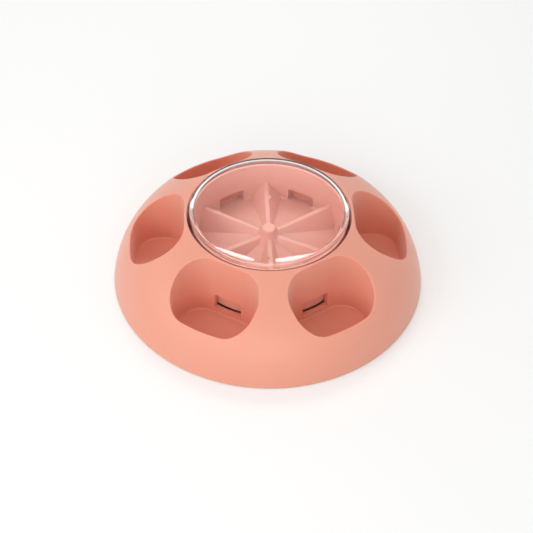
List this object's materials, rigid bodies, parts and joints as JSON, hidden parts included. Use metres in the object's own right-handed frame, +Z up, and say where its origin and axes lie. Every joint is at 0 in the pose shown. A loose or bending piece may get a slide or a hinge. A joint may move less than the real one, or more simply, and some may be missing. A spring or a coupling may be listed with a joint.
{
  "type": "push button treat dispenser",
  "caption": "Domed pet treat dispenser: pressing the clear round lid lowers a sprung hopper, and treats slide through windows into the pockets around it.",
  "frame": {"origin": "centre of the underside, in the plane the rubber feet stand on", "axes": "+Z up along the axis of the dome and of the button's travel; +X through the middle of one treat pocket; +Y through the web between two pockets"},
  "size_m": [0.27, 0.27, 0.0733],
  "materials": {
    "pink_abs": "fine matt moulded ABS",
    "hopper_plastic": "smooth satin moulded ABS",
    "clear_lid": "polished clear moulded plastic",
    "spring_steel": "drawn spring wire",
    "zinc_steel": "bright zinc plate",
    "washer_plastic": "natural moulded nylon",
    "foot_rubber": "soft matt thermoplastic rubber"
  },
  "bodies": {
    "base": {"housing": "pink_abs", "base_plate": "pink_abs", "return_spring": "spring_steel", "base_screw_1": "zinc_steel", "base_screw_2": "zinc_steel", "base_screw_3": "zinc_steel", "base_screw_4": "zinc_steel", "base_screw_5": "zinc_steel", "base_screw_6": "zinc_steel", "rubber_foot_1": "foot_rubber", "rubber_foot_2": "foot_rubber", "rubber_foot_3": "foot_rubber", "rubber_foot_4": "foot_rubber", "rubber_foot_5": "foot_rubber", "rubber_foot_6": "foot_rubber"},
    "button": {"hopper": "hopper_plastic", "shutter_ring": "hopper_plastic", "retaining_washer_1": "washer_plastic", "retaining_washer_2": "washer_plastic", "retaining_screw_1": "zinc_steel", "retaining_screw_2": "zinc_steel"},
    "lid": {"push_lid": "clear_lid"}
  },
  "joints": [
    {"name": "button_press", "type": "slide", "parent": "base", "child": "button", "axis": [0, 0, -1], "range_m": [0, 0.0105], "stiffness_N_per_m": 600, "springref_m": -0.01, "deforming": ["return_spring"]},
    {"name": "lid_lift", "type": "slide", "parent": "button", "child": "lid", "axis": [0, 0, 1], "range_m": [0, 0.04]}
  ]
}
